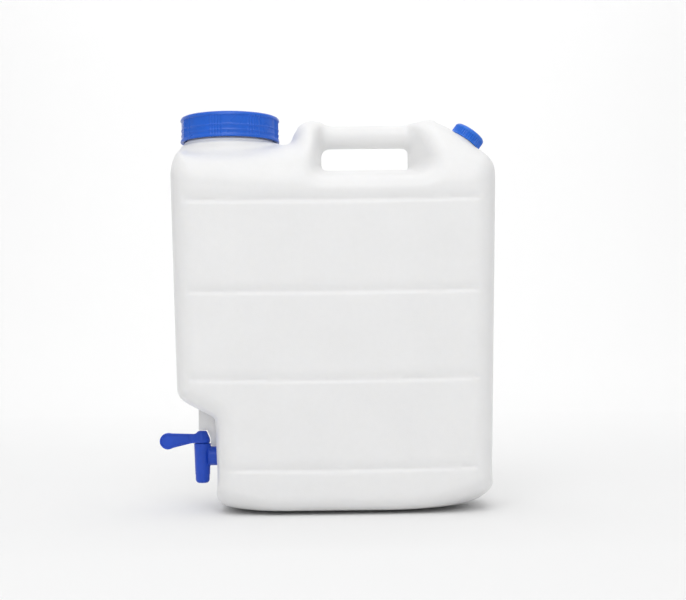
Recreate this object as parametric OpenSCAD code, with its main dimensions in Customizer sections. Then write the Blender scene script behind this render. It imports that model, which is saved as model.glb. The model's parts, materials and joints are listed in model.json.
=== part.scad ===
// Blown canister with a wide screw lid, a vent cap, a moulded-through handle and a barrel tap.
// Millimetres, +Z up, front face towards -Y, tap at the -X end.
// The origin is the centre of the base that the canister stands on.

/* [Canister] */
// Width of the body at its widest, along X
body_w = 350; // [346:1:354]
// Depth of the body at its widest, along Y
body_d = 165; // [160:1:172]
// Height of the deck that the wide neck stands on
deck_z = 388; // [387:0.5:389]
// Height of the two humps at the handle's ends
crest_z = 414.5; // [413:0.5:416]
// Thickness of the blown wall
wall = 2; // [1.6:0.2:2.4]
// Depth of the horizontal grooves in the front and back faces
groove_depth = 1; // [0.6:0.1:1.2]

/* [Handle] */
// Left edge of the hand hole
hole_left = -11.6; // [-13:0.2:-10]
// Right edge of the hand hole
hole_right = 81.6; // [80:0.2:83]
// Floor of the hand hole
hole_floor_z = 361.7; // [360:0.1:364]
// Outer radius of the round grip
grip_r = 11.8; // [11:0.1:12.4]

/* [Wide mouth] */
// Place of the wide neck's axis along X
mouth_x = -110.4; // [-112:0.1:-109]
// Outer radius of the screw lid
lid_r = 53.4; // [52.8:0.1:54]
// Height of the screw lid
lid_h = 27.8; // [27:0.1:29]
// Rise of the lid's thread in one turn
lid_pitch = 6; // [5.6:0.1:6.4]

/* [Vent] */
// Place along X where the vent neck's axis meets the shoulder
vent_x = 143.5; // [142:0.5:145]
// Height at which the vent neck's axis meets the shoulder
vent_z = 392.6; // [392:0.1:393]
// Slope of the shoulder and tilt of the vent neck, in degrees
vent_tilt = 35.9; // [34:0.1:37]
// Outer radius of the vent cap
vent_cap_r = 17.7; // [17.3:0.1:18.2]
// Height of the vent cap
vent_cap_h = 14; // [13.5:0.1:14.5]
// Rise of the vent cap's thread in one turn
vent_pitch = 3; // [2.8:0.1:3.2]

/* [Tap] */
// End wall of the niche that the tap stands in, along X
niche_x = -127.7; // [-129:0.1:-126]
// Height of the tap's inlet
inlet_z = 56; // [55:0.5:57]
// Distance of the tap's upright axis from the niche wall
tap_reach = 15.3; // [15:0.1:16]
// Radius of the bore that the key turns in
key_bore_r = 6.05; // [5.8:0.05:6.2]
// Gap between the key and its bore
key_gap = 0.05; // [0.03:0.01:0.08]
// Distance of the lever's round end from the tap's axis
lever_reach = 37; // [34:0.5:39]

/* [Hidden] */
$fn = 96;
eps = 0.01;
over = 1;
white = "whitesmoke";
blue = "royalblue";

// Taper of the sides and faces towards the base, below the heights where they are widest
widest_z = 341;
roof_z = 337;
side_taper = 0.026;
face_taper = 0.009;
function half_w(z) = body_w / 2 - side_taper * max(0, widest_z - z);
function half_d(z) = body_d / 2 - face_taper * max(0, roof_z - z);

// Points of an elliptical arc, angles in degrees
function arc(cx, cy, rx, ry, from, to, steps = 8) =
    [for (i = [0 : steps]) let (a = from + (to - from) * i / steps) [cx + rx * cos(a), cy + ry * sin(a)]];
function mirrored(points) = [for (i = [len(points) - 1 : -1 : 0]) [-points[i][0], points[i][1]]];

// Front outline: corners and humps
base_r = 30;
niche_base_r = 13;
shoulder_r = 28;
right_hump_r = 25;
left_hump_r = 15.5;
left_hump_x = -24;
valley_r = 10;
valley_x = -53;
deck_corner_w = 16;
deck_corner_h = 38;
niche_top_z = 105.5;
overhang_r = 24;
crook_r = 8;
crook_z = 92;
crook_angle = 65;
hump_side_angle = 155;
hump_left_angle = 60;
hump_right_angle = 110;
hump_foot = 10;
shoulder_turn = 90 - vent_tilt;
shoulder_corner_z = vent_z - tan(vent_tilt) * (half_w(deck_z) - vent_x);
right_hump_z = crest_z - right_hump_r;
right_hump_x = vent_x - (right_hump_r + cos(vent_tilt) * (right_hump_z - vent_z)) / sin(vent_tilt);

// Side outline: base edges, and the roof that leans back from the faces to the crest
base_edge_w = 36;
base_edge_h = 22;
roof_power = 1.55;
roof_steps = 12;
crest_half = 4;

// Plan corners, bow of the sides, and the top of the block below the niche's overhang
plan_r = 24;
bow_r = 264;
lower_top_z = 200;
boss_base_z = 350;

// Handle: the scoop in front of and behind the grip
grip_z = 397.3;
grip_top_z = grip_z + grip_r;
scoop_inner_y = 14;
scoop_left = -20;
scoop_right = 104;
scoop_floor_z = 342.4;
hole_corner_r = 6;
past = 10;

// Grooves across the front and back faces
groove_z = [323, 229, 139, 47.5];
groove_r = 3;
groove_end = 152;
low_groove_start = -104;

// Wide neck and its screw lid
neck_r = 46.2;
neck_bore_r = 42;
neck_bead_r = 51;
boss_r = 51.5;
bead_gap = 0.7;
neck_top_z = 415.4;
lid_z = deck_z + 4.2;
gasket_h = 2;
lid_inner_r = 49.6;
lid_edge_r = 3.5;
seal_gap = 0.4;
gasket_bore_r = 40;
lid_turns = 1.5;
neck_thread_h = 2.2;
neck_thread_w = [3.2, 1.5];
neck_thread_z = 7;
thread_steps = 36;
thread_sink = 0.4;
thread_gap = 0.6;

// Vent neck and its cap, along the vent axis from the shoulder
vent_neck_r = 12.9;
vent_bore_r = 10.5;
vent_neck_h = 10.8;
vent_liner_h = 1;
vent_inner_r = 15.5;
vent_cap_z = 0.6;
vent_dome_h = 4;
vent_turns = 1.5;
vent_thread_h = 1.4;
vent_thread_w = [1.7, 0.8];
vent_thread_z = 4.2;

// Tap
tap_x = niche_x - tap_reach;
barrel_top_z = 69.5;
barrel_top_r = 9;
barrel_step_z = 36.6;
barrel_step_r = 7.9;
nozzle_r = 7.2;
nozzle_end_z = 30.5;
spout_z = 26;
spout_lip_r = 5.6;
outlet_r = 4.6;
key_bottom_z = 41;
key_foot_gap = 0.5;
flange_r = 10.3;
flange_t = 8;
spigot_r = 7.5;
spigot_gap = 0.05;
spigot_hole_r = 7.8;
inlet_bore_r = 4;
washer_r = 9.4;
washer_t = 1.2;
washer_gap = 0.1;
nut_t = 7;
nut_across = 24;
spigot_past_nut = 3;
spigot_end_x = niche_x + wall + washer_t + nut_t + spigot_past_nut;
inner_washer_r = 13;
key_r = key_bore_r - key_gap;
key_core_r = 4;
hub_r = 7.9;
hub_top_r = 4.8;
hub_h = 13.1;
hub_dome_r = 6.9;
hub_dome_angle = 20;
hub_gap = 0.3;
hub_z = barrel_top_z + hub_gap;
hub_foot_h = 2.4;
lever_end_r = 9;
lever_t = 5;
lever_web_t = 2.6;
lever_rim = 2.2;
lever_top_z = 80.8;
lever_neck_r = 11;
lever_neck_bottom_z = 70.6;
lever_dip = 0.6;
lever_face_end = 14;
o_ring_t = 1.3;
o_ring_play = 0.02;
o_ring_z = [64.5, 44.5];
stop_r = 7.4;
stop_half = 10;
stop_deep = 2.6;
stop_clear = 1;
stop_sink = 0.5;
stop_gap = 0.1;

// Web in the crook
web_t = 3;
web_past_tap = 4.6;
web_foot = 3.9;
web_key_gap = 1.6;
web_flange_gap = 0.7;

module front_prism(depth) { rotate([90, 0, 0]) linear_extrude(depth, center = true) children(); }
module side_prism(width) { rotate([90, 0, 90]) linear_extrude(width, center = true) children(); }

function front_outline() = concat(
    arc(half_w(base_r) - base_r, base_r, base_r, base_r, -90, 0),
    [[half_w(widest_z), widest_z]],
    arc(half_w(deck_z) - shoulder_r, shoulder_corner_z - shoulder_r * tan(shoulder_turn / 2),
        shoulder_r, shoulder_r, 0, shoulder_turn),
    arc(right_hump_x, right_hump_z, right_hump_r, right_hump_r, shoulder_turn, hump_right_angle, 6),
    [[hole_right, grip_top_z], [hole_left + hump_foot, grip_top_z]],
    arc(left_hump_x, crest_z - left_hump_r, left_hump_r, left_hump_r, hump_left_angle, hump_side_angle, 8),
    arc(valley_x, deck_z + valley_r, valley_r, valley_r, hump_side_angle - 180, -90, 5),
    arc(deck_corner_w - half_w(deck_z), deck_z - deck_corner_h, deck_corner_w, deck_corner_h, 90, 180),
    arc(overhang_r - half_w(niche_top_z + overhang_r), niche_top_z + overhang_r,
        overhang_r, overhang_r, 180, 270),
    arc(niche_x - crook_r, crook_z, crook_r, crook_r, crook_angle, 0, 4),
    arc(niche_x + niche_base_r, niche_base_r, niche_base_r, niche_base_r, 180, 270));

function side_half() = concat(
    arc(half_d(base_edge_h) - base_edge_w, base_edge_h, base_edge_w, base_edge_h, -90, 0, 6),
    [for (i = [0 : roof_steps - 1]) let (rise = pow(sin(90 * i / roof_steps), 2 / roof_power))
        [half_d(roof_z) * pow(1 - pow(rise, roof_power), 1 / roof_power),
            roof_z + (crest_z - roof_z) * rise]],
    [[crest_half, crest_z]]);
function side_outline() = concat(side_half(), mirrored(side_half()));

// Rounded rectangle between two X places, drawn in by inset
module plan(left, right, inset) {
    offset(r = plan_r - inset)
        translate([left + plan_r, plan_r - body_d / 2])
            square([right - left - 2 * plan_r, body_d - 2 * plan_r]);
}

// Front outline and side outline, run through each other
module outline_prism(inset) {
    intersection() {
        front_prism(body_d + past) offset(delta = -inset) polygon(front_outline());
        side_prism(body_w + past) offset(delta = -inset) polygon(side_outline());
    }
}

// Round block whose rim is the bowed side wall on one side, +1 or -1
module bowed_side(side, inset) {
    translate([side * (body_w / 2 - bow_r), 0, 0]) rotate_extrude()
        polygon([[0, -past], [bow_r - side_taper * (widest_z + past) - inset, -past],
            [bow_r - inset, widest_z], [bow_r - inset, crest_z + past], [0, crest_z + past]]);
}

// Body without its handle opening, every face drawn in by inset
module block(inset) {
    difference() {
        intersection() {
            outline_prism(inset);
            linear_extrude(crest_z + past) plan(-body_w / 2, body_w / 2, inset);
            bowed_side(1, inset);
            bowed_side(-1, inset);
        }
        translate([-body_w, -body_d, -past]) cube([2 * body_w, 2 * body_d, crook_z + inset + past]);
    }
    intersection() {
        outline_prism(inset);
        linear_extrude(lower_top_z) plan(niche_x, body_w / 2, inset);
        bowed_side(1, inset);
    }
    on_mouth_axis() translate([0, 0, boss_base_z])
        cylinder(h = deck_z - boss_base_z - inset, r = boss_r - inset);
}

// Everything taken away around the grip: the hand hole and the scoop on both faces
module handle_opening(grow) {
    front_prism(body_d + past)
        offset(r = hole_corner_r + grow)
            polygon([[hole_left + hole_corner_r, hole_floor_z + hole_corner_r],
                [hole_right - hole_corner_r, hole_floor_z + hole_corner_r],
                [hole_right - hole_corner_r, crest_z + past], [hole_left + hole_corner_r, crest_z + past]]);
    for (side = [-1, 1])
        intersection() {
            translate([0, 0, scoop_floor_z - past])
                linear_extrude(crest_z)
                    offset(delta = grow)
                        polygon([[scoop_left, side * body_d / 2], [scoop_right, side * body_d / 2],
                            [hole_right, side * scoop_inner_y], [hole_left, side * scoop_inner_y]]);
            side_prism(body_w)
                offset(delta = grow)
                    polygon([[side * scoop_inner_y, hole_floor_z], [side * body_d / 2, scoop_floor_z],
                        [side * body_d, scoop_floor_z - past], [side * body_d, crest_z + past],
                        [side * scoop_inner_y, crest_z + past]]);
        }
}

// Tube of the grip, reaching into both humps
module grip(inset) {
    translate([hole_left - past, 0, grip_z]) rotate([0, 90, 0])
        cylinder(h = hole_right - hole_left + 2 * past, r = grip_r - inset);
}

module envelope(inset) {
    difference() { block(inset); handle_opening(inset); }
    grip(inset);
}

// Helical ridge from root radius to crest radius, widths [root, crest], faded out at both ends
module thread(root_r, crest_r, widths, pitch, turns, z) {
    count = round(turns * thread_steps);
    function fade(i) = min(1, i / 3, (count - i) / 3);
    function ring(i) = let (a = 360 * i / thread_steps, c = root_r + (crest_r - root_r) * fade(i),
        h = z + pitch * i / thread_steps)
        [for (p = [[root_r, -widths[0]], [root_r, widths[0]], [c, widths[1]], [c, -widths[1]]])
            [p[0] * cos(a), p[0] * sin(a), h + p[1] / 2]];
    points = [for (i = [1 : count - 1]) each ring(i)];
    last = 4 * (count - 2);
    outward = crest_r > root_r;
    quads = [for (i = [0 : count - 3], k = [0 : 3])
        let (a = 4 * i + k, b = 4 * i + (k + 1) % 4) [a, b, b + 4, a + 4]];
    ends = [[3, 2, 1, 0], [last, last + 1, last + 2, last + 3]];
    faces = [for (f = concat(quads, ends)) outward ? [f[3], f[2], f[1], f[0]] : f];
    polyhedron(points, faces, convexity = 6);
}

module on_vent_axis() { translate([vent_x, 0, vent_z]) rotate([0, vent_tilt, 0]) children(); }
module on_mouth_axis() { translate([mouth_x, 0, 0]) children(); }
module along_inlet(x) { translate([x, 0, inlet_z]) rotate([0, 90, 0]) children(); }

// Flat web in the crook between the overhang and the niche wall, on the parting plane
module crook_web() {
    key_clear_z = hub_z + hub_h + web_key_gap;
    flange_clear_z = inlet_z + flange_r + web_flange_gap;
    front_prism(web_t)
        polygon([[tap_x - web_past_tap, key_clear_z], [niche_x - web_foot, key_clear_z],
            [niche_x - web_foot, flange_clear_z], [niche_x + wall / 2, flange_clear_z],
            [niche_x + wall / 2, crook_z], [niche_x - crook_r / 2, crook_z + crook_r],
            [tap_x - web_past_tap, niche_top_z + wall / 2]]);
}

module canister_body() {
    color(white) difference() {
        union() {
            difference() { envelope(0); envelope(wall); }
            on_mouth_axis() {
                translate([0, 0, deck_z - wall + eps])
                    cylinder(h = neck_top_z - deck_z + wall - eps, r = neck_r);
                translate([0, 0, deck_z - wall / 2])
                    cylinder(h = lid_z - deck_z + wall / 2 - bead_gap, r = neck_bead_r);
                thread(neck_r - thread_sink, neck_r + neck_thread_h, neck_thread_w, lid_pitch, lid_turns,
                    lid_z + neck_thread_z);
            }
            on_vent_axis() {
                translate([0, 0, eps - wall]) cylinder(h = vent_neck_h + wall - eps, r = vent_neck_r);
                thread(vent_neck_r - thread_sink, vent_neck_r + vent_thread_h, vent_thread_w, vent_pitch,
                    vent_turns, vent_thread_z);
            }
            crook_web();
        }
        on_mouth_axis() translate([0, 0, deck_z - 2 * wall])
            cylinder(h = neck_top_z - deck_z + 3 * wall, r = neck_bore_r);
        on_vent_axis() translate([0, 0, -2 * wall]) cylinder(h = 3 * past, r = vent_bore_r);
        along_inlet(niche_x - past) cylinder(h = 2 * past, r = spigot_hole_r);
        for (i = [0 : len(groove_z) - 1], side = [-1, 1])
            let (start = i == len(groove_z) - 1 ? low_groove_start : -groove_end)
                translate([start, side * (half_d(groove_z[i]) + groove_r - groove_depth), groove_z[i]])
                    rotate([0, 90, 0]) cylinder(h = groove_end - start, r = groove_r);
    }
}

module wide_lid() {
    top = lid_z + lid_h;
    ceiling = neck_top_z + gasket_h;
    color(blue) on_mouth_axis() {
        rotate_extrude() polygon(concat(
            [[0, ceiling], [lid_inner_r, ceiling], [lid_inner_r, lid_z], [lid_r, lid_z]],
            arc(lid_r - lid_edge_r, top - lid_edge_r, lid_edge_r, lid_edge_r, 0, 90, 6), [[0, top]]));
        thread(lid_inner_r + thread_sink, neck_r + thread_gap, neck_thread_w, lid_pitch, lid_turns,
            lid_z + neck_thread_z - lid_pitch / 2);
    }
}

module lid_gasket() {
    color("gainsboro") on_mouth_axis() translate([0, 0, neck_top_z]) difference() {
        cylinder(h = gasket_h, r = lid_inner_r - seal_gap);
        translate([0, 0, -eps]) cylinder(h = gasket_h + 2 * eps, r = gasket_bore_r);
    }
}

module vent_cap() {
    top = vent_cap_z + vent_cap_h;
    ceiling = vent_neck_h + vent_liner_h;
    color(blue) on_vent_axis() {
        rotate_extrude() polygon(concat(
            [[0, ceiling], [vent_inner_r, ceiling], [vent_inner_r, vent_cap_z], [vent_cap_r, vent_cap_z]],
            arc(vent_cap_r - vent_dome_h, top - vent_dome_h, vent_dome_h, vent_dome_h, 0, 90, 6),
            [[0, top]]));
        thread(vent_inner_r + thread_sink, vent_neck_r + thread_gap, vent_thread_w, vent_pitch, vent_turns,
            vent_thread_z - vent_pitch / 2);
    }
}

module vent_cap_liner() {
    color("gainsboro") on_vent_axis() translate([0, 0, vent_neck_h])
        cylinder(h = vent_liner_h, r = vent_inner_r - seal_gap);
}

module tap_body() {
    flange_x = niche_x - flange_t;
    color(blue) difference() {
        union() {
            translate([tap_x, 0, 0]) rotate_extrude() polygon(concat([[0, spout_z], [spout_lip_r, spout_z]],
                arc(spout_lip_r, nozzle_end_z, nozzle_r - spout_lip_r, nozzle_end_z - spout_z, -90, 0, 6),
                [[nozzle_r, barrel_step_z], [barrel_step_r, barrel_step_z], [barrel_top_r, barrel_top_z],
                    [0, barrel_top_z]]));
            along_inlet(flange_x) cylinder(h = flange_t, r = flange_r);
            along_inlet(niche_x - flange_t / 2)
                cylinder(h = spigot_end_x - niche_x + flange_t / 2, r = spigot_r);
        }
        translate([tap_x, 0, key_bottom_z - key_foot_gap]) cylinder(h = barrel_top_z, r = key_bore_r);
        translate([tap_x, 0, spout_z - past]) cylinder(h = barrel_top_z, r = outlet_r);
        along_inlet(tap_x) cylinder(h = spigot_end_x - tap_x + past, r = inlet_bore_r);
        along_inlet(niche_x - washer_t) difference() {
            cylinder(h = washer_t + eps, r = washer_r + washer_gap);
            translate([0, 0, -over]) cylinder(h = washer_t + 2 * over, r = spigot_r);
        }
        // Quarter notch in the barrel's rim that the key's stop lug runs in
        rim_sector(-stop_half - stop_clear, 90 + stop_half + stop_clear, key_bore_r - stop_sink,
            stop_r + stop_gap, barrel_top_z - stop_deep);
    }
}

// Part of a ring about the tap's axis between two angles, one stop lug tall
module rim_sector(from, to, inner, outer, z) {
    translate([tap_x, 0, z]) rotate([0, 0, from]) rotate_extrude(angle = to - from)
        translate([inner, 0]) square([outer - inner, stop_deep + over]);
}

// Outline of the lever seen from the front, shrunk by inset
module lever_outline(inset) {
    end_x = tap_x - lever_reach;
    end_z = lever_top_z - lever_end_r;
    offset(delta = -inset) union() {
        translate([end_x, end_z]) circle(r = lever_end_r);
        polygon([[end_x, lever_top_z], [end_x - over, lever_top_z - 2 * lever_end_r],
            [tap_x - lever_neck_r, lever_neck_bottom_z], [tap_x, lever_neck_bottom_z],
            [tap_x, lever_top_z - lever_dip], [tap_x - lever_neck_r, lever_top_z - lever_dip]]);
    }
}

module tap_key() {
    color(blue) difference() {
        union() {
            translate([tap_x, 0, key_bottom_z]) cylinder(h = hub_z - key_bottom_z + over, r = key_r);
            translate([tap_x, 0, hub_z]) rotate_extrude() polygon(concat(
                [[0, 0], [hub_r, 0], [hub_r, hub_foot_h]],
                arc(0, hub_foot_h, hub_dome_r, hub_h - hub_foot_h, hub_dome_angle,
                    acos(hub_top_r / hub_dome_r), 5),
                [[0, hub_h]]));
            difference() {
                front_prism(lever_t) lever_outline(0);
                for (side = [-1, 1])
                    translate([0, side * (lever_web_t + lever_t) / 2, 0])
                        difference() {
                            front_prism(lever_t) lever_outline(lever_rim);
                            translate([tap_x - lever_face_end, -past, 0])
                                cube([4 * past, 2 * past, 2 * lever_top_z]);
                        }
            }
            rim_sector(-stop_half, stop_half, key_r - stop_sink, stop_r, hub_z - stop_deep + hub_gap);
        }
        translate([tap_x, 0, key_bottom_z - eps])
            cylinder(h = inlet_z + 3 * key_core_r / 2 - key_bottom_z, r = key_core_r);
        translate([tap_x, 0, inlet_z]) rotate([90, 0, 0]) cylinder(h = 2 * past, r = inlet_bore_r);
        for (z = o_ring_z) o_ring_seat(z);
    }
}

module o_ring_seat(z) {
    translate([tap_x, 0, z - o_ring_t / 2]) difference() {
        cylinder(h = o_ring_t, r = key_r + over);
        translate([0, 0, -over]) cylinder(h = o_ring_t + 2 * over, r = key_r - o_ring_t + o_ring_play);
    }
}

module o_ring(z) {
    color("dimgray") translate([tap_x, 0, z]) rotate_extrude()
        translate([key_bore_r - o_ring_play - o_ring_t / 2, 0]) circle(d = o_ring_t - o_ring_play, $fn = 24);
}

module tap_washer_outer() {
    color("dimgray") along_inlet(niche_x - washer_t) difference() {
        cylinder(h = washer_t, r = washer_r);
        translate([0, 0, -over]) cylinder(h = washer_t + 2 * over, r = spigot_r + spigot_gap);
    }
}

module tap_washer_inner() {
    color("dimgray") along_inlet(niche_x + wall) difference() {
        cylinder(h = washer_t, r = inner_washer_r);
        translate([0, 0, -over]) cylinder(h = washer_t + 2 * over, r = spigot_r + spigot_gap);
    }
}

module tap_lock_nut() {
    color(blue) along_inlet(niche_x + wall + washer_t) difference() {
        cylinder(h = nut_t, r = nut_across / sqrt(3), $fn = 6);
        translate([0, 0, -over]) cylinder(h = nut_t + 2 * over, r = spigot_r + spigot_gap);
    }
}

canister_body();
wide_lid();
lid_gasket();
vent_cap();
vent_cap_liner();
tap_body();
tap_key();
o_ring(o_ring_z[0]);  // key_o_ring_upper
o_ring(o_ring_z[1]);  // key_o_ring_lower
tap_washer_outer();
tap_washer_inner();
tap_lock_nut();
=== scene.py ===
"""Blown canister with a wide screw lid, a vent cap and a lever tap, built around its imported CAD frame.

Lengths in the field functions are millimetres in the row frame; meshes are written in metres.
A field function gives the signed distance to a surface: negative inside, positive outside.
"""
import json
import math

import bpy
import numpy as np
from mathutils import Matrix, Vector


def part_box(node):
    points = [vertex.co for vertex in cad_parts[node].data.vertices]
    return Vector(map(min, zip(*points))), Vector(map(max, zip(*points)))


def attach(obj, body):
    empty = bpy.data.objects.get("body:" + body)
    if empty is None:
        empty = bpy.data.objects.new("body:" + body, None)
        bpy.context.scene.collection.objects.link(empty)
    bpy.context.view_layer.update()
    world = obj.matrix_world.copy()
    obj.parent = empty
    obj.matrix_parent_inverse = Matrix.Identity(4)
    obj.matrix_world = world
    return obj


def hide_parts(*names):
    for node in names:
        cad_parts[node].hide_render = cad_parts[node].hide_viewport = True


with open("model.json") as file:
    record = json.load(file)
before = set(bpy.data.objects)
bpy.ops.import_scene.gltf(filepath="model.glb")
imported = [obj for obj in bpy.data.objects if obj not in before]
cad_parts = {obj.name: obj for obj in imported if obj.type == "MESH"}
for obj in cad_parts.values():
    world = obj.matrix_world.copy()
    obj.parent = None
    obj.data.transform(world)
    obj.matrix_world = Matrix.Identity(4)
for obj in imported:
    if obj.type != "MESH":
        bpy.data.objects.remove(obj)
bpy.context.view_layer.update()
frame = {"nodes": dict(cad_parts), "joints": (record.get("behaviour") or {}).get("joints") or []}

MM = 0.001


def node_box(name):
    """Lowest and highest corner of a CAD node, in millimetres."""
    low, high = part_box(name)
    return np.array(low) / MM, np.array(high) / MM


def joint(name):
    return next(j for j in frame["joints"] if j["name"] == name)


# ---------------------------------------------------------------- places taken from the frame
BODY_LOW, BODY_HIGH = node_box("canister_body")
LID_LOW, LID_HIGH = node_box("wide_lid")
GASKET_LOW, GASKET_HIGH = node_box("lid_gasket")
TAP_LOW, TAP_HIGH = node_box("tap_body")
KEY_LOW, KEY_HIGH = node_box("tap_key")

WIDEST_HALF = (BODY_HIGH[0] - BODY_LOW[0]) / 2
DEEPEST_HALF = (BODY_HIGH[1] - BODY_LOW[1]) / 2
CREST_Z = 414.5
# Top of the outline's left corner, and the dip between the lid and the left hump
DECK_Z = 385.0
VALLEY_Z = 389.7
MOUTH_X = (LID_LOW[0] + LID_HIGH[0]) / 2
LID_R = (LID_HIGH[0] - LID_LOW[0]) / 2
NECK_TOP_Z = GASKET_LOW[2]
NECK_BORE_R = 42.0
LID_CEILING_Z = GASKET_HIGH[2]
VENT_AT = np.array(joint("vent_turn")["pos_m"]) / MM
VENT_AXIS = np.array(joint("vent_turn")["axis"], float)
VENT_TILT = math.atan2(VENT_AXIS[0], VENT_AXIS[2])
KEY_AT = np.array(joint("key_turn")["pos_m"]) / MM
KEY_AXIS = np.array(joint("key_turn")["axis"], float)
INLET_Z = (node_box("tap_washer_outer")[0][2] + node_box("tap_washer_outer")[1][2]) / 2
NICHE_X = node_box("tap_washer_outer")[1][0]

# Screw threads: pitch, and width of the ridge at its root and at its crest
LID_PITCH, VENT_PITCH = 6, 3
LID_THREAD, VENT_THREAD = (3.2, 1.5), (1.7, 0.8)
THREAD_TURNS = 1.5


# ---------------------------------------------------------------- signed distance tools
def smoothstep(low, high, value):
    t = np.clip((value - low) / (high - low), 0, 1)
    return t * t * (3 - 2 * t)


def smooth_min(a, b, width):
    """Union with a fillet about as wide as width."""
    h = np.clip(width - np.abs(a - b), 0, None) / width
    return np.minimum(a, b) - h * h * width / 4


def smooth_max(a, b, width):
    return -smooth_min(-a, -b, width)


def round_join(a, b, radius):
    """Intersection of two solids with their common edge rounded to a radius."""
    outside = np.hypot(np.maximum(a + radius, 0), np.maximum(b + radius, 0))
    return np.minimum(np.maximum(a, b), -radius) + outside


def arc(cx, cy, rx, ry, start, end, steps=12):
    angles = np.radians(np.linspace(start, end, steps + 1))
    return [(cx + rx * math.cos(a), cy + ry * math.sin(a)) for a in angles]


def polygon_distance(points, x, z):
    """Signed distance in the plane to a closed outline."""
    points = np.asarray(points, float)
    best = np.full(np.broadcast(x, z).shape, np.inf)
    inside = np.zeros(best.shape, bool)
    for (ax, az), (bx, bz) in zip(points, np.roll(points, -1, axis=0)):
        ex, ez = bx - ax, bz - az
        px, pz = x - ax, z - az
        t = np.clip((px * ex + pz * ez) / max(ex * ex + ez * ez, 1e-12), 0, 1)
        best = np.minimum(best, (px - t * ex) ** 2 + (pz - t * ez) ** 2)
        if az != bz:
            crosses = ((az > z) != (bz > z)) & (x < ax + (z - az) * ex / ez)
            inside ^= crosses
    return np.where(inside, -1.0, 1.0) * np.sqrt(best)


def gradient(field, p, h):
    """Value and gradient of a field at points."""
    here = field(p[:, 0], p[:, 1], p[:, 2])
    slope = np.empty_like(p)
    for axis in range(3):
        q = p.copy()
        q[:, axis] += h
        r = p.copy()
        r[:, axis] -= h
        slope[:, axis] = (field(q[:, 0], q[:, 1], q[:, 2]) - field(r[:, 0], r[:, 1], r[:, 2])) / (2 * h)
    return here, slope


def surface_net(field, low, high, step, passes=3):
    """Quad mesh of a field's zero surface: one vertex in each cell that it crosses, drawn onto it."""
    axes = [np.arange(lo, hi + step, step) for lo, hi in zip(low, high)]
    values = field(axes[0][:, None, None], axes[1][None, :, None], axes[2][None, None, :])
    values = np.broadcast_to(values, [len(a) for a in axes])
    full = values < 0
    shape = [n - 1 for n in full.shape]
    count = np.zeros(shape, np.int8)
    corners = [(i, j, k) for i in (0, 1) for j in (0, 1) for k in (0, 1)]

    def corner(array, c):
        return array[tuple(slice(o, o + n) for o, n in zip(c, shape))]

    for c in corners:
        count += corner(full, c)
    cells = np.argwhere((count > 0) & (count < 8))
    index = np.full(shape, -1, np.int64)
    index[tuple(cells.T)] = np.arange(len(cells))
    level = np.stack([values[tuple((cells + c).T)] for c in corners], axis=1)
    total, hits = np.zeros((len(cells), 3)), np.zeros(len(cells))
    for a, ca in enumerate(corners):
        for b, cb in enumerate(corners):
            if b > a and sum(abs(p - q) for p, q in zip(ca, cb)) == 1:
                cut = (level[:, a] < 0) != (level[:, b] < 0)
                t = level[:, a] / np.where(cut, level[:, a] - level[:, b], 1)
                point = np.array(ca)[None] + t[:, None] * (np.array(cb) - ca)[None]
                total += np.where(cut[:, None], point, 0)
                hits += cut
    p = np.array([a[0] for a in axes]) + step * (cells + total / hits[:, None])

    quads = []
    for axis in range(3):
        u, v = (axis + 1) % 3, (axis + 2) % 3
        ends = [slice(None)] * 3
        starts = [slice(None)] * 3
        starts[axis], ends[axis] = slice(0, -1), slice(1, None)
        change = full[tuple(starts)].astype(np.int8) - full[tuple(ends)]
        at = np.argwhere(change != 0)
        at = at[(at[:, u] > 0) & (at[:, v] > 0) & (at[:, u] < shape[u]) & (at[:, v] < shape[v])]
        ring = []
        for du, dv in ((-1, -1), (0, -1), (0, 0), (-1, 0)):
            cell = at.copy()
            cell[:, u] += du
            cell[:, v] += dv
            ring.append(index[tuple(cell.T)])
        ring = np.stack(ring, axis=1)
        outward = change[tuple(at.T)] > 0
        quads.append(np.where(outward[:, None], ring, ring[:, ::-1]))
    quads = np.concatenate(quads)

    # Even out the net along the surface, then draw it back onto the surface
    edges = np.concatenate([quads[:, [k, (k + 1) % 4]] for k in range(4)])
    edges = np.unique(np.sort(edges, axis=1), axis=0)
    degree = np.bincount(edges.ravel(), minlength=len(p)).clip(1)[:, None]
    for n in range(passes):
        mean = np.zeros_like(p)
        np.add.at(mean, edges[:, 0], p[edges[:, 1]])
        np.add.at(mean, edges[:, 1], p[edges[:, 0]])
        p = p + 0.5 * (mean / degree - p)
        for _ in range(2 if n == passes - 1 else 1):
            here, slope = gradient(field, p, step * 0.1)
            move = here[:, None] * slope / np.maximum((slope ** 2).sum(1), 0.05)[:, None]
            p = p - np.clip(move, -step, step)
    return p, quads


def add_mesh(name, points_mm, faces, body, replaced, material):
    """Smooth-shaded piece that rides a body; it may stand for CAD nodes."""
    mesh = bpy.data.meshes.new(name)
    points = (np.asarray(points_mm, float) * MM).tolist()
    mesh.from_pydata(points, [], [list(map(int, f)) for f in faces])
    mesh.validate()
    mesh.polygons.foreach_set("use_smooth", [True] * len(mesh.polygons))
    piece = bpy.data.objects.new(name, mesh)
    bpy.context.scene.collection.objects.link(piece)
    mesh.materials.append(material)
    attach(piece, body)
    if replaced:
        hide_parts(*replaced)
    return piece


def auto_sharp(piece, degrees=35):
    """Marks edges sharper than an angle, so that smooth shading stops there."""
    piece.data.set_sharp_from_angle(angle=math.radians(degrees))


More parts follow.
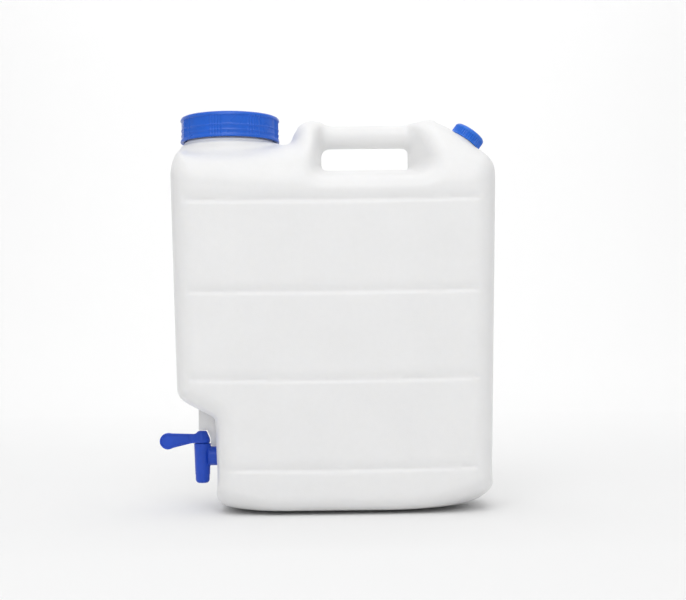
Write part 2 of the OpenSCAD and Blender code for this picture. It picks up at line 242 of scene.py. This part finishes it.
def lathe(profile, segments, shape=None):
    """Closed surface of revolution about Z. shape(radius, z, angle) may move each point's radius."""
    profile = np.asarray(profile, float)
    angles = np.arange(segments) * 2 * math.pi / segments
    radius = np.repeat(profile[:, :1], segments, axis=1)
    height = np.repeat(profile[:, 1:], segments, axis=1)
    if shape is not None:
        radius = shape(radius, height, angles[None, :])
    points = np.stack([radius * np.cos(angles), radius * np.sin(angles), height], axis=-1).reshape(-1, 3)
    faces = []
    for row in range(len(profile) - 1):
        for k in range(segments):
            a, b = row * segments + k, row * segments + (k + 1) % segments
            faces.append((a, b, b + segments, a + segments))
    poles = [row for row in (0, len(profile) - 1) if profile[row][0] < 1e-6]
    if poles:
        keep, merged = np.ones(len(points), bool), np.arange(len(points))
        for row in poles:
            merged[row * segments:(row + 1) * segments] = row * segments
            keep[row * segments + 1:(row + 1) * segments] = False
        new = np.cumsum(keep) - 1
        faces = [[int(new[merged[i]]) for i in f] for f in faces]
        faces = [list(dict.fromkeys(f)) for f in faces]
        points = points[keep]
    return points, faces


def rounded_profile(corners, steps=5):
    """Outline through (radius, height, fillet) corners, each corner rounded by its fillet."""
    line = []
    for i, (r, z, fillet) in enumerate(corners):
        here = np.array([r, z], float)
        if fillet <= 0 or i in (0, len(corners) - 1):
            line.append(here)
            continue
        back = np.array(corners[i - 1][:2], float) - here
        ahead = np.array(corners[i + 1][:2], float) - here
        lb, la = np.linalg.norm(back), np.linalg.norm(ahead)
        back, ahead = back / lb, ahead / la
        half = 0.5 * math.acos(np.clip(back @ ahead, -1, 1))
        reach = min(fillet / math.tan(half), 0.49 * lb, 0.49 * la)
        for t in np.linspace(0, 1, steps + 1):
            a, b = here + back * reach * (1 - t), here + ahead * reach * t
            line.append(a * (1 - t) + b * t)
    return np.array(line)


def thread_ridge(root_r, crest_r, widths, pitch, z, steps_per_turn=72):
    """Points and faces of a helical ridge, widths (root, crest), that fades out at both ends."""
    root_w, crest_w = widths
    count = int(THREAD_TURNS * steps_per_turn)
    points, faces = [], []
    for i in range(count + 1):
        angle = 2 * math.pi * i / steps_per_turn
        fade = math.sin(min(1, i / 8, (count - i) / 8) * math.pi / 2)
        crest = root_r + (crest_r - root_r) * max(fade, 0.02)
        middle = z + pitch * i / steps_per_turn
        soft = root_r + (crest - root_r) * 0.85
        section = ((root_r, -root_w / 2), (soft, -crest_w / 2 - 0.15), (crest, -crest_w / 2 + 0.2),
                   (crest, crest_w / 2 - 0.2), (soft, crest_w / 2 + 0.15), (root_r, root_w / 2))
        for radius, dz in section:
            points.append((radius * math.cos(angle), radius * math.sin(angle), middle + dz))
    n = len(section)
    for i in range(count):
        for k in range(n - 1):
            a = i * n + k
            quad = (a, a + n, a + n + 1, a + 1)
            faces.append(quad if crest_r > root_r else quad[::-1])
    return np.array(points), faces


def join_parts(parts):
    """One list of points and faces from several."""
    points, faces, start = [], [], 0
    for p, f in parts:
        points.append(np.asarray(p))
        faces.extend([[i + start for i in face] for face in f])
        start += len(p)
    return np.concatenate(points), faces


# ---------------------------------------------------------------- canister
WIDEST_Z = 341
SIDE_TAPER, FACE_TAPER = 0.026, 0.009
HALF_AT_PARTING, RIGHT_EXTRA = WIDEST_HALF - 1.6, 1.0
HOLE_LEFT, HOLE_RIGHT, HOLE_FLOOR = -11.6, 81.6, 361.7
GRIP_Z, GRIP_RZ, GRIP_RY = 397.9, 12.3, 13.2
GROOVES = (323.0, 229.0, 139.0, 47.5)
NICHE_TOP = 105.5
NICHE_DRAFT = 0.032
ROOF_Z = 336.0
CREST_HALF = 9.0
BOSS_R, BOSS_Z = 51.5, 389.3


def half_width(z):
    return HALF_AT_PARTING - SIDE_TAPER * np.maximum(0, WIDEST_Z - z)


def front_outline():
    """The canister's outline on its parting plane, without the handle's opening."""
    slope = math.degrees(VENT_TILT)
    turn = 90 - slope
    wide = half_width(DECK_Z)
    right_wide = wide + RIGHT_EXTRA
    corner_z = VENT_AT[2] - math.tan(VENT_TILT) * (right_wide - VENT_AT[0])
    shoulder_r, right_r, left_r = 28, 25, 15.5
    hump_z = CREST_Z - right_r
    hump_x = VENT_AT[0] - (right_r + math.cos(VENT_TILT) * (hump_z - VENT_AT[2])) / math.sin(VENT_TILT)
    grip_top = GRIP_Z + GRIP_RZ
    points = arc(half_width(30) + RIGHT_EXTRA - 30, 30, 30, 30, -90, 0)
    points += [(half_width(WIDEST_Z) + RIGHT_EXTRA, WIDEST_Z)]
    points += arc(right_wide - shoulder_r, corner_z - shoulder_r * math.tan(math.radians(turn / 2)),
                  shoulder_r, shoulder_r, 0, turn)
    points += arc(hump_x, hump_z, right_r, right_r, turn, 112)
    points += [(HOLE_RIGHT + 9, grip_top + 1.4), (HOLE_RIGHT + 2, grip_top + 0.2)]
    points += [(0.0, grip_top), (-6.5, grip_top + 0.9), (-12.5, grip_top + 3.0)]
    points += arc(-22, CREST_Z - left_r, left_r, left_r, 68, 155)
    points += arc(-50.5, VALLEY_Z + 10, 10, 10, -25, -90, 8)
    points += arc(12.5 - wide, DECK_Z - 27, 12.5, 27, 90, 180)
    points += arc(21 - half_width(131), 131, 21, 21, 180, 238)
    points += arc(NICHE_X - 6, 93, 6, 6, 62, 0, 8)
    points += arc(NICHE_X + 13 + NICHE_DRAFT * 80, 13, 13, 13, 180, 270)
    return points


def side_outline():
    """The canister's outline from the side: tapered faces under a roof that leans to the crest."""
    half = [(DEEPEST_HALF - FACE_TAPER * (WIDEST_Z + 40), -40.0), (DEEPEST_HALF - FACE_TAPER * 3, ROOF_Z)]
    for t in np.linspace(0.04, 1, 40):
        rise = math.sin(t * math.pi / 2) ** (2 / 1.55)
        lean = (1 - min(rise, 1) ** 1.55) ** (1 / 1.55)
        half.append((CREST_HALF + (DEEPEST_HALF - CREST_HALF) * lean, ROOF_Z + (CREST_Z - ROOF_Z) * rise))
    half.append((CREST_HALF, CREST_Z + 40))
    return half + [(-y, z) for y, z in half[::-1]]


OUTLINE = front_outline()
SIDE = side_outline()


def groove_depth(x, z):
    """Four grooves across each face: a slow fall from above, then a quick step out below."""
    wide = half_width(z)
    total, swell = 0, 0
    for level in GROOVES:
        dz = z - level - 1.3 * (x / 150) ** 2
        ends = 1 - smoothstep(-5, 3, np.abs(x) - (wide - 19.5))
        if level == GROOVES[-1]:
            ends = ends * smoothstep(-122, -115, x)
        fall = np.clip(1 - dz / 10.5, 0, 1) ** 1.7
        step = np.clip(1 + dz / 3.4, 0, 1)
        profile = np.where(dz > 0, fall, step * step * (3 - 2 * step))
        deepest = 3.3 if level == GROOVES[0] else 2.8
        total = np.maximum(total, deepest * ends * profile)
    return total


def base_lift(x, y):
    """Height that the underside is trimmed to: below the outline in the middle, rising all round it."""
    right = np.maximum(x - 50, 0) / 110
    left = np.maximum(-x - 50, 0) / 85
    reach = np.sqrt(right ** 2 + left ** 2 + (y / 84) ** 2)
    flat = 1 - smoothstep(0.3, 0.7, reach)
    return 12 * (np.maximum(reach - 0.55, 0) / 0.45) ** 2 - 9 * flat


def handle_opening(x, y, z):
    """The hand hole, flared into a scoop on each face, open at the top."""
    t = np.clip(np.abs(y) / 75, 0, 1.3)
    left = HOLE_LEFT - 8 * t
    right = HOLE_RIGHT + 29 * t
    floor = HOLE_FLOOR - 14.5 * t ** 1.5
    left_corner = round_join(left - x, floor - z, 6 + 6 * t)
    right_corner = round_join(x - right, floor - z, 3 + 20 * t)
    return np.maximum(left_corner, right_corner)


def grip(x, y, z):
    """Tube of the handle, flared a little where it runs into the two humps."""
    left = 1 - smoothstep(-22, 3, x)
    right = smoothstep(80, 100, x)
    up = GRIP_RZ + 5.4 * left + 4.5 * right
    deep = GRIP_RY + 7 * left ** 1.5 + 10 * right
    tall = np.where(z > GRIP_Z, up, GRIP_RZ + 4 * left ** 2 + 4 * right)
    stretch = np.hypot(y / deep, (z - GRIP_Z) / tall)
    radial = (stretch - 1) * np.minimum(deep, tall)
    return np.maximum(radial, np.abs(x - (HOLE_LEFT + HOLE_RIGHT) / 2) - 75)


def canister_field(x, y, z):
    """The canister as a solid form, hollow only in the wide neck's bore."""
    wide = half_width(z)
    bow = (8 * smoothstep(4, 45, z) + 9 * smoothstep(350, 385, z)) * (y / 65) ** 2
    outline = polygon_distance(OUTLINE, x, z) + bow
    bend = 7 * (np.abs(x - 30) / 150) ** 2 * smoothstep(300, 340, z)
    face = polygon_distance(SIDE, y, z - bend) + groove_depth(x, z)
    face = face + 4 * np.clip(np.abs(x) / wide, 0, 1.1) ** 2.2
    corner = 17 - 4 * smoothstep(330, 380, z) - 3 * smoothstep(390, 405, z)
    corner = corner + 10 * smoothstep(45, 5, z) * smoothstep(-60, -110, x)
    body = round_join(outline, face, corner)
    body = round_join(body, (base_lift(x, y) - z) * 0.95, 9)
    radial = np.hypot(x - MOUTH_X, y) - BOSS_R
    boss = np.maximum(round_join(radial, z - BOSS_Z, 1.6), 350 - z)
    body = smooth_min(body, boss, 9)
    body = smooth_max(body, -handle_opening(x, y, z), 6 + 9 * smoothstep(8, 45, np.abs(y)))
    body = smooth_min(body, np.maximum(grip(x, y, z), outline), 8)
    neck_bore = np.maximum(np.hypot(x - MOUTH_X, y) - NECK_BORE_R, 352 - z)
    return np.maximum(body, -neck_bore)


def build_canister(material):
    step = 2.6
    low, high = BODY_LOW - 3, BODY_HIGH + 3
    high[2] = CREST_Z + 4
    points, quads = surface_net(canister_field, low, high, step)
    points[:, 2] = np.maximum(points[:, 2], BODY_LOW[2])
    return add_mesh("canister_shell", points, quads, "canister", ("canister_body",),
                    material)


def build_neck(material):
    """Wide neck: transfer bead, screw thread, rim and bore."""
    bore, wall, bead = NECK_BORE_R - 0.2, 45.9, 49.4
    profile = rounded_profile([
        (bore, 366, 0), (bore, NECK_TOP_Z, 1), (wall, NECK_TOP_Z, 1), (wall, 392.6, 0.8),
        (bead, 392.2, 0.8), (bead, 387, 0.2), (bead, 384, 0)])
    parts = [lathe(profile[::-1], 144)]
    parts.append(thread_ridge(45.7, 48.3, LID_THREAD, LID_PITCH, LID_LOW[2] + 7))
    points, faces = join_parts(parts)
    points[:, 0] += MOUTH_X
    piece = add_mesh("wide_neck_finish", points, faces, "canister", (), material)
    auto_sharp(piece)
    return piece


def vent_place():
    """Where the vent neck stands: its own Z runs along the tilted axis."""
    return Matrix.Translation(Vector(VENT_AT * MM)) @ Matrix.Rotation(VENT_TILT, 4, "Y")


def placed(points_mm, matrix):
    points = np.asarray(points_mm) * MM
    rotation = np.array(matrix.to_3x3())
    return (points @ rotation.T + np.array(matrix.translation)) / MM


def build_vent_neck(material):
    """Tilted vent neck with its rim, screw thread and foot."""
    profile = rounded_profile([
        (10.5, -8, 0), (10.5, 10.8, 0.7), (12.9, 10.8, 0.7), (12.9, 1.2, 1), (16.4, 0.3, 0.5), (16.4, -3, 0)])
    points, faces = join_parts([
        lathe(profile[::-1], 96), thread_ridge(12.7, 14.3, VENT_THREAD, VENT_PITCH, 4.2)])
    piece = add_mesh("vent_neck_finish", placed(points, vent_place()), faces, "canister", (),
                     material)
    auto_sharp(piece)
    return piece


def build_web(material):
    """Thin flat web in the crook above the tap, on the parting plane."""
    left, step = KEY_AT[0] - 3.8, NICHE_X - 6.2
    top_of_key, top_of_flange = KEY_HIGH[2] + 0.9, INLET_Z + 10.6
    outline = [(left, top_of_key), (KEY_AT[0] + 5.4, top_of_key), (KEY_AT[0] + 7.6, top_of_key - 4.6),
               (step, top_of_key - 9), (step, top_of_flange + 2),
               (step + 1.2, top_of_flange), (NICHE_X + 3, top_of_flange), (NICHE_X + 3, 92),
               (NICHE_X - 1, 102), (left, NICHE_TOP + 3)]
    half = 1.4
    n = len(outline)
    points, faces = [], []
    for y, inset in ((-half, 0.5), (-half + 0.5, 0), (half - 0.5, 0), (half, 0.5)):
        cx, cz = np.mean(outline, axis=0)
        for x, z in outline:
            shrink = 1 - inset / max(math.hypot(x - cx, z - cz), 1)
            points.append((cx + (x - cx) * shrink, y, cz + (z - cz) * shrink))
    for row in range(3):
        for k in range(n):
            a, b = row * n + k, row * n + (k + 1) % n
            faces.append((a, b, b + n, a + n))
    faces.append(tuple(range(n))[::-1])
    faces.append(tuple(range(3 * n, 4 * n)))
    piece = add_mesh("crook_web", points, faces, "canister", (), material)
    auto_sharp(piece, 60)
    return piece


# ---------------------------------------------------------------- caps
LID_LIFT = 1.0
LID_BOTTOM, LID_TOP = LID_LOW[2] + LID_LIFT, LID_HIGH[2]
RIB_GROUPS = 8
VENT_CAP_R, VENT_CAP_BOTTOM, VENT_CAP_TOP = 17.7, 0.6, 13.7
VENT_RIBS = 40


def lid_skirt(radius, z, angle):
    """Grip pattern of the wide lid: three rings and groups of upright ribs on the outside."""
    bottom, top = LID_BOTTOM, LID_TOP
    outer = radius > LID_R - 1.3
    skirt = outer * smoothstep(bottom + 1.5, bottom + 3, z) * (1 - smoothstep(top - 4.6, top - 3.6, z))
    pitch = 2 * math.pi / RIB_GROUPS
    local = (angle - math.radians(-57) + pitch / 2) % pitch - pitch / 2
    rib = math.radians(3.3)
    near = np.abs(local) < 2.5 * rib
    wave = np.where(near, np.cos(local / rib * 2 * math.pi) * 0.5 + 0.5, 0) ** 1.5
    rings = sum(np.exp(-((z - level) / 0.7) ** 2) for level in (bottom + 2.6, bottom + 7.0, bottom + 12.6))
    return radius + skirt * (0.6 * np.clip(wave, 0, 1) + 0.6 * np.clip(rings, 0, 1)) - 1.2 * skirt


def build_lid(material):
    bottom, top = LID_BOTTOM, LID_TOP
    inner = LID_R - 3.8
    skirt = [(LID_R, z, 0) for z in np.arange(bottom + 1.2, top - 3.2, 0.55)]
    corners = [(0, LID_CEILING_Z, 0), (inner, LID_CEILING_Z, 1), (inner, bottom, 0.4), (LID_R, bottom, 0.6)]
    corners += skirt
    corners += [(LID_R - 0.2, top - 2.8, 0), (LID_R - 0.6, top - 1.6, 0), (LID_R - 1.4, top - 0.7, 0),
                (LID_R - 2.6, top - 0.15, 0), (LID_R - 4, top, 0), (LID_R - 8, top, 0.8),
                (LID_R - 9.2, top - 1.4, 0.8), (LID_R - 30, top - 1.4, 0.6), (LID_R - 31, top - 0.9, 0.6),
                (0, top - 0.9, 0)]
    body = lathe(rounded_profile(corners, 4), 720, shape=lid_skirt)
    ridge = thread_ridge(inner + 0.2, 46.9, LID_THREAD, LID_PITCH, bottom + 4)
    points, faces = join_parts([body, ridge])
    points[:, 0] += MOUTH_X
    piece = add_mesh("wide_lid_shell", points, faces, "lid", ("wide_lid",), material)
    auto_sharp(piece, 40)
    return piece


def vent_skirt(radius, z, angle):
    """Upright grip ribs all round the vent cap's skirt."""
    outer = (radius > 17.0) & (z > VENT_CAP_BOTTOM)
    fade = smoothstep(1.6, 2.6, z) * (1 - smoothstep(8.2, 9.8, z))
    wave = np.clip(np.cos(angle * VENT_RIBS), -0.2, 0.75) / 0.75
    return radius - outer * fade * 0.8 * (1 - wave)


def build_vent_cap(material):
    r, bottom, top = VENT_CAP_R, VENT_CAP_BOTTOM, VENT_CAP_TOP
    skirt = [(r, z, 0) for z in np.arange(bottom + 0.8, 10.0, 0.6)]
    corners = [(0, 11.8, 0), (15.5, 11.8, 0.5), (15.5, bottom, 0.3), (r, bottom, 0.4)] + skirt
    corners += [(r - 0.15, top - 3.2, 0), (r - 0.9, top - 2.1, 0), (r - 2.2, top - 1.15, 0),
                (r - 4.2, top - 0.55, 0), (r - 8, top - 0.15, 0), (0, top, 0)]
    body = lathe(rounded_profile(corners, 4), 480, shape=vent_skirt)
    ridge = thread_ridge(15.7, 13.5, VENT_THREAD, VENT_PITCH, 2.7)
    points, faces = join_parts([body, ridge])
    piece = add_mesh("vent_cap_shell", placed(points, vent_place()), faces, "vent", ("vent_cap",),
                     material)
    auto_sharp(piece, 40)
    return piece


# ---------------------------------------------------------------- tap
BARREL_LOW_Z, BARREL_TOP_Z = 36.2, 69.4
HUB_Z = 69.75
SPOUT_BORE_R, KEY_BORE_R, PLUG_R = 4.6, 6.05, 6.0
LEVER_END_Z = 72.1
TAP_STEP, TAP_QUICK_STEP = 0.42, 0.8


def tap_frame(x, y, z):
    """Distance from the key's axis and height along it, for points in the row frame."""
    dx, dz = x - KEY_AT[0], z - KEY_AT[2]
    lean = math.atan2(KEY_AXIS[0], KEY_AXIS[2])
    along = KEY_AT[2] + dx * math.sin(lean) + dz * math.cos(lean)
    across = dx * math.cos(lean) - dz * math.sin(lean)
    return across, y, along


def tap_field(x, y, z):
    across, side, up = tap_frame(x, y, z)
    radial = np.hypot(across, side)
    barrel = round_join(radial - (7.85 + (up - 36.6) * 0.036), up - BARREL_TOP_Z, 0.7)
    barrel = round_join(barrel, BARREL_LOW_Z - up, 0.7)
    nozzle = radial - (7.55 + (up - 36) * 0.01)
    nozzle = round_join(nozzle, (TAP_LOW[2] + 0.9) - up, 4.2)
    nozzle = np.maximum(nozzle, up - 60)
    shape = smooth_min(barrel, nozzle, 0.8)
    collar = np.hypot(y, z - INLET_Z) - 10.2
    collar = round_join(collar, KEY_AT[0] + 7 - x, 0.8)
    collar = round_join(collar, x - (NICHE_X + 1.6), 0.5)
    shape = smooth_min(shape, collar, 1.6)
    bore = np.maximum(radial - SPOUT_BORE_R, up - 40)
    key_bore = np.maximum(radial - KEY_BORE_R, 40.5 - up)
    return smooth_max(smooth_max(shape, -bore, 0.6), -key_bore, 0.4)


def lever_profile(x, z):
    """Distance to the lever's outline seen from the front."""
    end_x, end_z = KEY_LOW[0] + 8.9, LEVER_END_Z
    tip = np.hypot(x - end_x, z - end_z) - 8.7
    neck_x = KEY_AT[0] - 10.5
    outline = [(end_x, end_z + 8.5), (end_x, end_z - 8.5), (neck_x, 69.9),
               (KEY_AT[0], 70.6), (KEY_AT[0], 79.2), (neck_x + 1, 79.6)]
    return smooth_min(tip, polygon_distance(outline, x, z), 1.0)


def key_field(x, y, z):
    across, side, up = tap_frame(x, y, z)
    radial = np.hypot(across, side)
    plan = lever_profile(x, z)
    paddle = round_join(plan, np.abs(y) - 2.5, 0.9)
    pocket = np.maximum(plan + 1.8, 1.15 - np.abs(y))
    pocket = np.maximum(pocket, x - (KEY_AT[0] - 13.5))
    paddle = smooth_max(paddle, -pocket, 0.5)
    lower = radial - (8.3 - 0.35 * np.clip(71.5 - up, 0, 2))
    upper = radial - (8.8 - 0.12 * (up - 69.7) - 2.3 * smoothstep(72.5, 83.5, up))
    hub = round_join(np.maximum(lower, upper), up - KEY_HIGH[2], 1.8)
    hub = np.maximum(hub, HUB_Z - up)
    shape = smooth_min(hub, paddle, 4.5)
    # Over the barrel nothing reaches below the hub; the lever beyond it may
    shape = np.maximum(shape, np.minimum(HUB_Z - up, 11 - radial))
    plug = np.maximum(np.maximum(radial - PLUG_R, up - 72), 41 - up)
    return np.minimum(shape, plug)


def build_tap(material):
    """Barrel, nozzle and collar, with the spigot that runs through the wall."""
    step = TAP_STEP
    low, high = TAP_LOW - 1.5, np.array([NICHE_X + 2.6, TAP_HIGH[1] + 1.5, TAP_HIGH[2] + 1.5])
    points, quads = surface_net(tap_field, low, high, step)
    profile = rounded_profile([(0, -1, 0), (7.5, -1, 0), (7.5, 14, 0.5), (4, 14, 0.5), (4, 3, 0)])
    spigot, faces = lathe(profile, 64)
    spigot = spigot[:, [2, 1, 0]] * np.array([1, 1, -1])
    spigot += np.array([NICHE_X, 0, INLET_Z])
    points, quads = join_parts([(points, quads), (spigot, faces)])
    return add_mesh("tap_barrel", points, quads, "canister", ("tap_body",), material)


def build_key(material):
    step = TAP_STEP
    points, quads = surface_net(key_field, KEY_LOW - 1.5, KEY_HIGH + 1.5, step)
    return add_mesh("tap_lever_key", points, quads, "key", ("tap_key",), material)


# ---------------------------------------------------------------- materials
def new_material(name):
    material = bpy.data.materials.new(name)
    material.use_nodes = True
    tree = material.node_tree
    shader = next(n for n in tree.nodes if n.type == "BSDF_PRINCIPLED")
    return material, tree, shader


def add_node(tree, kind, **values):
    node = tree.nodes.new(kind)
    for key, value in values.items():
        setattr(node, key, value)
    return node


def noise(tree, scale, detail, coordinates, roughness=0.5):
    node = add_node(tree, "ShaderNodeTexNoise")
    node.inputs["Scale"].default_value = scale
    node.inputs["Detail"].default_value = detail
    node.inputs["Roughness"].default_value = roughness
    tree.links.new(coordinates, node.inputs["Vector"])
    return node


def ramp(tree, source, low, high, out_low, out_high):
    node = add_node(tree, "ShaderNodeMapRange")
    node.inputs["From Min"].default_value = low
    node.inputs["From Max"].default_value = high
    node.inputs["To Min"].default_value = out_low
    node.inputs["To Max"].default_value = out_high
    tree.links.new(source, node.inputs["Value"])
    return node


def moulded_plastic(name, colour, roughness, variation, grain_scale, grain_height=0.0001,
                    subsurface=0.0, sheen=0.5):
    """Moulded plastic: cloudy colour, uneven gloss and a fine grain, in object space."""
    material, tree, shader = new_material(name)
    coordinates = add_node(tree, "ShaderNodeTexCoord").outputs["Object"]
    cloud = noise(tree, 14, 3, coordinates)
    speck = noise(tree, 160, 4, coordinates)
    shade = ramp(tree, cloud.outputs["Fac"], 0.3, 0.7, 1 - variation, 1 + variation * 0.4)
    fine = ramp(tree, speck.outputs["Fac"], 0.3, 0.7, 1 - variation * 0.4, 1 + variation * 0.4)
    both = add_node(tree, "ShaderNodeMath", operation="MULTIPLY")
    tree.links.new(shade.outputs[0], both.inputs[0])
    tree.links.new(fine.outputs[0], both.inputs[1])
    tint = add_node(tree, "ShaderNodeVectorMath", operation="SCALE")
    tint.inputs[0].default_value = colour
    tree.links.new(both.outputs[0], tint.inputs["Scale"])
    tree.links.new(tint.outputs[0], shader.inputs["Base Color"])
    patches = noise(tree, 45, 3, coordinates)
    gloss = ramp(tree, patches.outputs["Fac"], 0.3, 0.7, roughness - 0.05, roughness + 0.06)
    tree.links.new(gloss.outputs[0], shader.inputs["Roughness"])
    bump = add_node(tree, "ShaderNodeBump")
    bump.inputs["Strength"].default_value = 0.5
    bump.inputs["Distance"].default_value = grain_height
    grain = noise(tree, grain_scale, 4, coordinates, 0.6)
    tree.links.new(grain.outputs["Fac"], bump.inputs["Height"])
    tree.links.new(bump.outputs["Normal"], shader.inputs["Normal"])
    shader.inputs["Subsurface Weight"].default_value = subsurface
    shader.inputs["Subsurface Radius"].default_value = (1, 0.95, 0.85)
    shader.inputs["Subsurface Scale"].default_value = 0.004
    shader.inputs["Specular IOR Level"].default_value = sheen
    shader.inputs["IOR"].default_value = 1.5
    return material


def make_materials():
    return {
        "white": moulded_plastic("natural_polyethylene", (0.86, 0.86, 0.86), 0.42, 0.016, 900, 0.0002,
                                 subsurface=0.2),
        "lid": moulded_plastic("lid_blue", (0.008, 0.115, 0.62), 0.3, 0.10, 700, sheen=0.42),
        "vent": moulded_plastic("vent_blue", (0.022, 0.17, 0.72), 0.24, 0.10, 700, sheen=0.42),
        "tap": moulded_plastic("tap_blue", (0.010, 0.072, 0.55), 0.34, 0.10, 800, sheen=0.42),
        "seal": moulded_plastic("seal_black", (0.02, 0.02, 0.02), 0.6, 0.15, 900),
        "foam": moulded_plastic("liner_foam", (0.72, 0.71, 0.67), 0.75, 0.06, 1200, 0.0002),
    }


# ---------------------------------------------------------------- stage
CAMERA_DISTANCE = 1400.0
EYE_X, EYE_Z = 4.0, 178.7
AIM = (10.0, 0.0, 222.0)
# Lean of the camera about its line of sight, in radians
ROLL = 0.0115
# The picture's width in pixels, and the length that one pixel spans at the object
FRAME_W, SCALE_MM = 686, 1.08
SENSOR_W = 36


def build_camera():
    camera = bpy.data.cameras.new("camera")
    camera.sensor_fit = "HORIZONTAL"
    camera.sensor_width = SENSOR_W
    camera.lens = SENSOR_W * CAMERA_DISTANCE / (FRAME_W * SCALE_MM)
    camera.clip_start, camera.clip_end = 0.05, 30
    piece = bpy.data.objects.new("camera", camera)
    place = Vector((EYE_X, -CAMERA_DISTANCE, EYE_Z)) * MM
    look = Vector(AIM) * MM - place
    turn = look.to_track_quat("-Z", "Y").to_matrix()
    piece.matrix_world = Matrix.Translation(place) @ turn.to_4x4() @ Matrix.Rotation(-ROLL, 4, "Z")
    bpy.context.scene.collection.objects.link(piece)
    bpy.context.scene.camera = piece


def area_light(name, place, target, size, power):
    light = bpy.data.lights.new(name, "AREA")
    light.shape = "RECTANGLE"
    light.size, light.size_y = size
    light.energy = power
    piece = bpy.data.objects.new(name, light)
    piece.location = place
    piece.rotation_euler = (Vector(target) - Vector(place)).to_track_quat("-Z", "Y").to_euler()
    bpy.context.scene.collection.objects.link(piece)


def stage_material():
    """White paper with painted shade: its colour is greyer near the object and grades to plain white on the
    wall behind it.
    """
    material, tree, shader = new_material("white_paper")
    place = add_node(tree, "ShaderNodeNewGeometry").outputs["Position"]
    split = add_node(tree, "ShaderNodeSeparateXYZ")
    tree.links.new(place, split.inputs[0])
    # Painted shade: the paper's colour darkens towards the object, in place of its shadow on the floor
    painted_shade_tone = ramp(tree, split.outputs["Y"], 0.3, 2.2, 0.91, 1.0)
    fibre = noise(tree, 220, 3, place)
    shade = ramp(tree, fibre.outputs["Fac"], 0.3, 0.7, 0.995, 1.0)
    both = add_node(tree, "ShaderNodeMath", operation="MULTIPLY")
    tree.links.new(painted_shade_tone.outputs[0], both.inputs[0])
    tree.links.new(shade.outputs[0], both.inputs[1])
    tree.links.new(both.outputs[0], shader.inputs["Base Color"])
    shader.inputs["Roughness"].default_value = 0.9
    shader.inputs["Specular IOR Level"].default_value = 0.1
    return material


def build_stage():
    half, depth, rise, radius = 5.0, 3.0, 4.0, 1.2
    profile = [(-5.0, 0.0)] + [(depth - radius + radius * math.sin(a), radius - radius * math.cos(a))
                               for a in np.linspace(0, math.pi / 2, 25)] + [(depth, rise)]
    points = [(x, y, z) for y, z in profile for x in (-half, half)]
    faces = [(2 * k, 2 * k + 1, 2 * k + 3, 2 * k + 2) for k in range(len(profile) - 1)]
    mesh = bpy.data.meshes.new("floor")
    mesh.from_pydata(points, [], faces)
    mesh.polygons.foreach_set("use_smooth", [True] * len(faces))
    mesh.materials.append(stage_material())
    floor = bpy.data.objects.new("floor", mesh)
    bpy.context.scene.collection.objects.link(floor)
    world = bpy.data.worlds.new("studio")
    world.use_nodes = True
    tree = world.node_tree
    background = tree.nodes["Background"]
    background.inputs["Color"].default_value = (1, 1, 1, 1)
    split = add_node(tree, "ShaderNodeSeparateXYZ")
    tree.links.new(add_node(tree, "ShaderNodeTexCoord").outputs["Generated"], split.inputs[0])
    sideways = add_node(tree, "ShaderNodeMath", operation="ABSOLUTE")
    tree.links.new(split.outputs["X"], sideways.inputs[0])
    dimmed = ramp(tree, sideways.outputs[0], 0.3, 1.0, 0.68, 0.48)
    tree.links.new(dimmed.outputs[0], background.inputs["Strength"])
    bpy.context.scene.world = world
    area_light("top_softbox", (0.0, -0.35, 2.1), (0, 0, 0.2), (2.4, 2.0), 9)
    area_light("key_softbox", (-0.15, -1.7, 1.75), (0, 0, 0.2), (1.3, 1.1), 13)
    area_light("wall_light", (0.0, 1.2, 2.6), (0, 3.0, 0.9), (3.0, 0.8), 20)
    bpy.context.scene.view_settings.view_transform = "Standard"


def main():
    materials = make_materials()
    build_camera()
    build_stage()
    build_canister(materials["white"])
    build_neck(materials["white"])
    build_vent_neck(materials["white"])
    build_web(materials["white"])
    build_lid(materials["lid"])
    build_vent_cap(materials["vent"])
    build_tap(materials["tap"])
    build_key(materials["tap"])
    # Hidden CAD pieces that are shown as they are
    plain = {"lid_gasket": "foam", "vent_cap_liner": "foam", "key_o_ring_upper": "seal",
             "key_o_ring_lower": "seal", "tap_washer_outer": "seal", "tap_washer_inner": "seal",
             "tap_lock_nut": "tap"}
    for name, material in plain.items():
        mesh = frame["nodes"][name].data
        mesh.materials.clear()
        mesh.materials.append(materials[material])


main()
